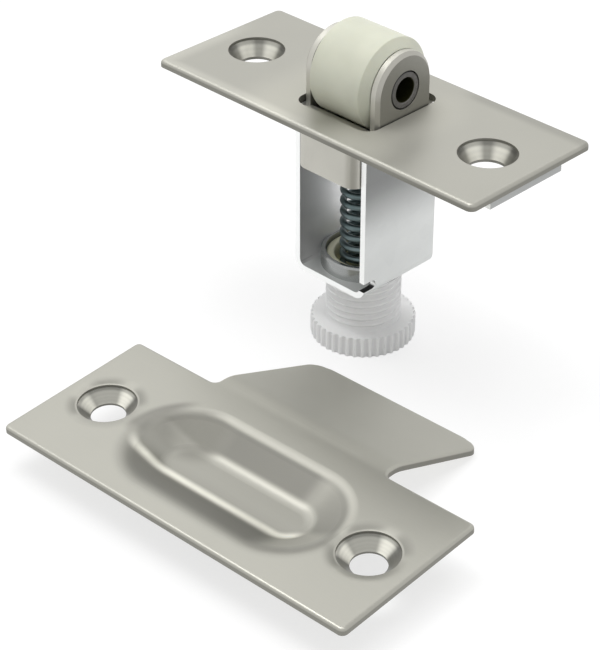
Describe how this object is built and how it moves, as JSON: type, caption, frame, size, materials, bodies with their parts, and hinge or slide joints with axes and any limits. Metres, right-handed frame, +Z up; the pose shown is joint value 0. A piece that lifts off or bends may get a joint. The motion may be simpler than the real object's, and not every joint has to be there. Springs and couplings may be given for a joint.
{
  "type": "roller catch",
  "caption": "Sprung roller catch for a door: a roller carriage in a folded housing under a face plate, an adjusting screw below, and its strike plate with a recess and a bent tongue.",
  "frame": {"origin": "Midway between the two face screw holes, level with the feet of their countersinks, where the catch seats in the door's edge.", "axes": "X runs along the face plate, Z is up, out of the door's edge towards the roller, and Y is across the plate. The strike plate lies apart on the -Y side, face up, turned by 2.4 degrees about Z and tilted by 2.5 degrees."},
  "size_m": [0.0929, 0.0826, 0.0573],
  "materials": {
    "satin_nickel": "satin nickel",
    "zinc_plate": "bright zinc plating",
    "roller_nylon": "satin",
    "dark_steel": "blackened",
    "spring_steel": "dark oiled",
    "white_nylon": "satin"
  },
  "bodies": {
    "frame": {"face_plate": "satin_nickel", "housing": "zinc_plate", "threaded_collar": "zinc_plate", "strike_plate": "satin_nickel"},
    "carriage": {"carriage": "satin_nickel", "axle": "dark_steel"},
    "roller": {"roller": "roller_nylon"},
    "spring_seat": {"spring": "spring_steel"},
    "screw": {"adjusting_screw": "white_nylon"}
  },
  "joints": [
    {"name": "carriage_slide", "type": "slide", "parent": "frame", "child": "carriage", "axis": [0, 0, 1], "range_m": [-0.004, 0], "stiffness_N_per_m": 3000, "springref_m": 0.006, "deforming": ["spring"]},
    {"name": "roller_spin", "type": "hinge", "parent": "carriage", "child": "roller", "pos_m": [0, 0, 0.00795], "axis": [1, 0, 0], "continuous": true},
    {"name": "screw_lift", "type": "slide", "parent": "frame", "child": "spring_seat", "axis": [0, 0, 1], "range_m": [-0.00126, 0.00313]},
    {"name": "screw_turn", "type": "hinge", "parent": "spring_seat", "child": "screw", "pos_m": [0, 0, -0.0265], "axis": [0, 0, 1], "range_deg": [-360, 900]}
  ],
  "couplings": [
    {"joint": "screw_lift", "follows": "screw_turn", "m_per_rad": 0.00019894}
  ]
}
